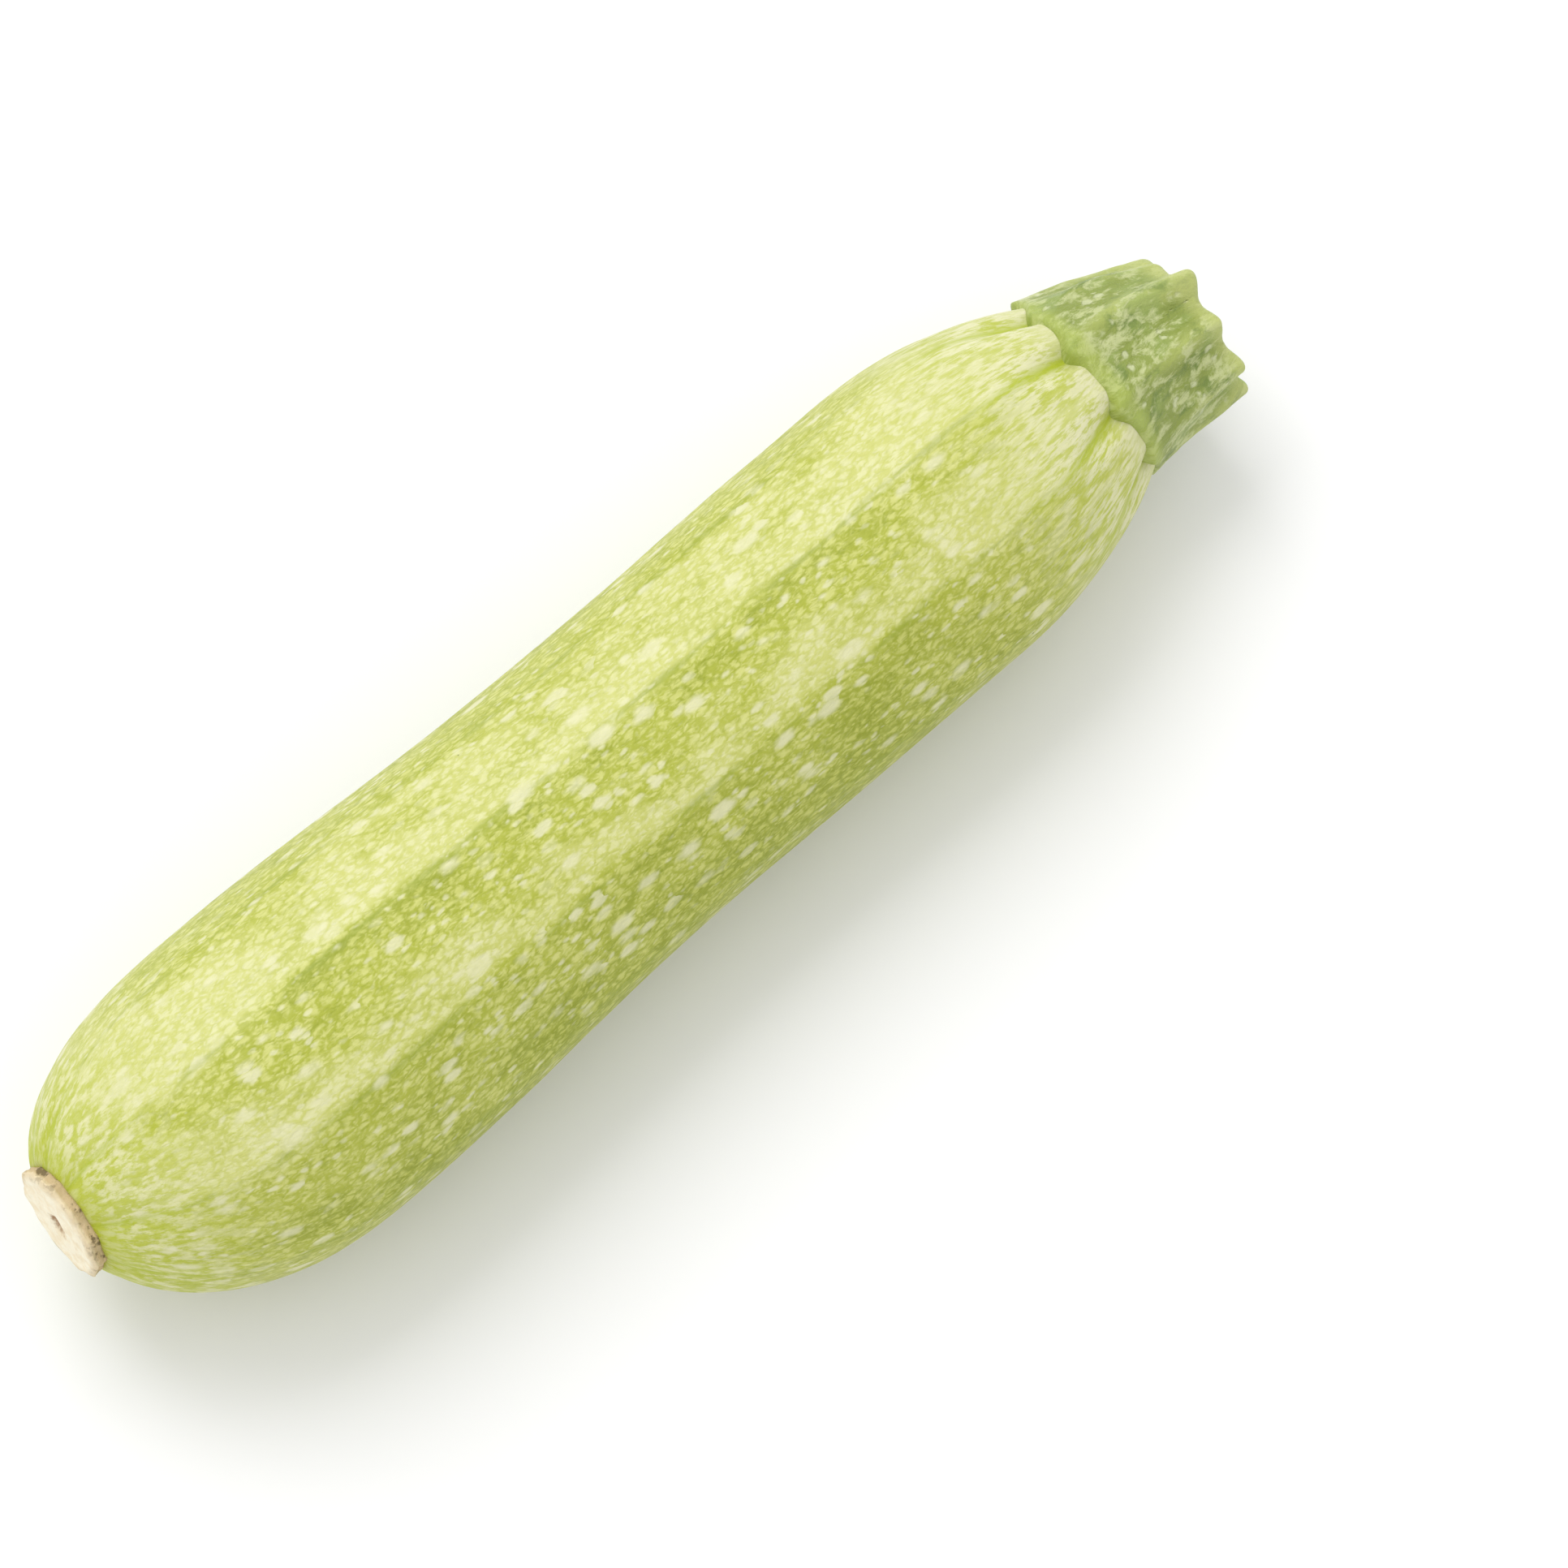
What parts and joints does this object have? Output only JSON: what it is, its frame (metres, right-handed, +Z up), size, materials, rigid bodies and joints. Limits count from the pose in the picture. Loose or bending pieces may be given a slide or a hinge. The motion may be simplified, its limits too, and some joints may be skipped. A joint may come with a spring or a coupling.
{
  "type": "courgette",
  "caption": "Whole pale green courgette as picked, lying on its side: ribbed fruit with a waist, cut ridged stem and dry flower scar.",
  "frame": {"origin": "on the surface that the courgette lies on, under the middle of its bounding box", "axes": "+X along the fruit from the flower scar to the stem, +Z up from the surface that it lies on, +Y to the left when looking along +X"},
  "size_m": [0.1904, 0.0446, 0.0445],
  "materials": {
    "skin": "satin",
    "stem": "matte",
    "scar": "matte"
  },
  "bodies": {
    "root": {"fruit": "skin", "stem": "stem", "blossom_scar": "scar"}
  },
  "joints": []
}
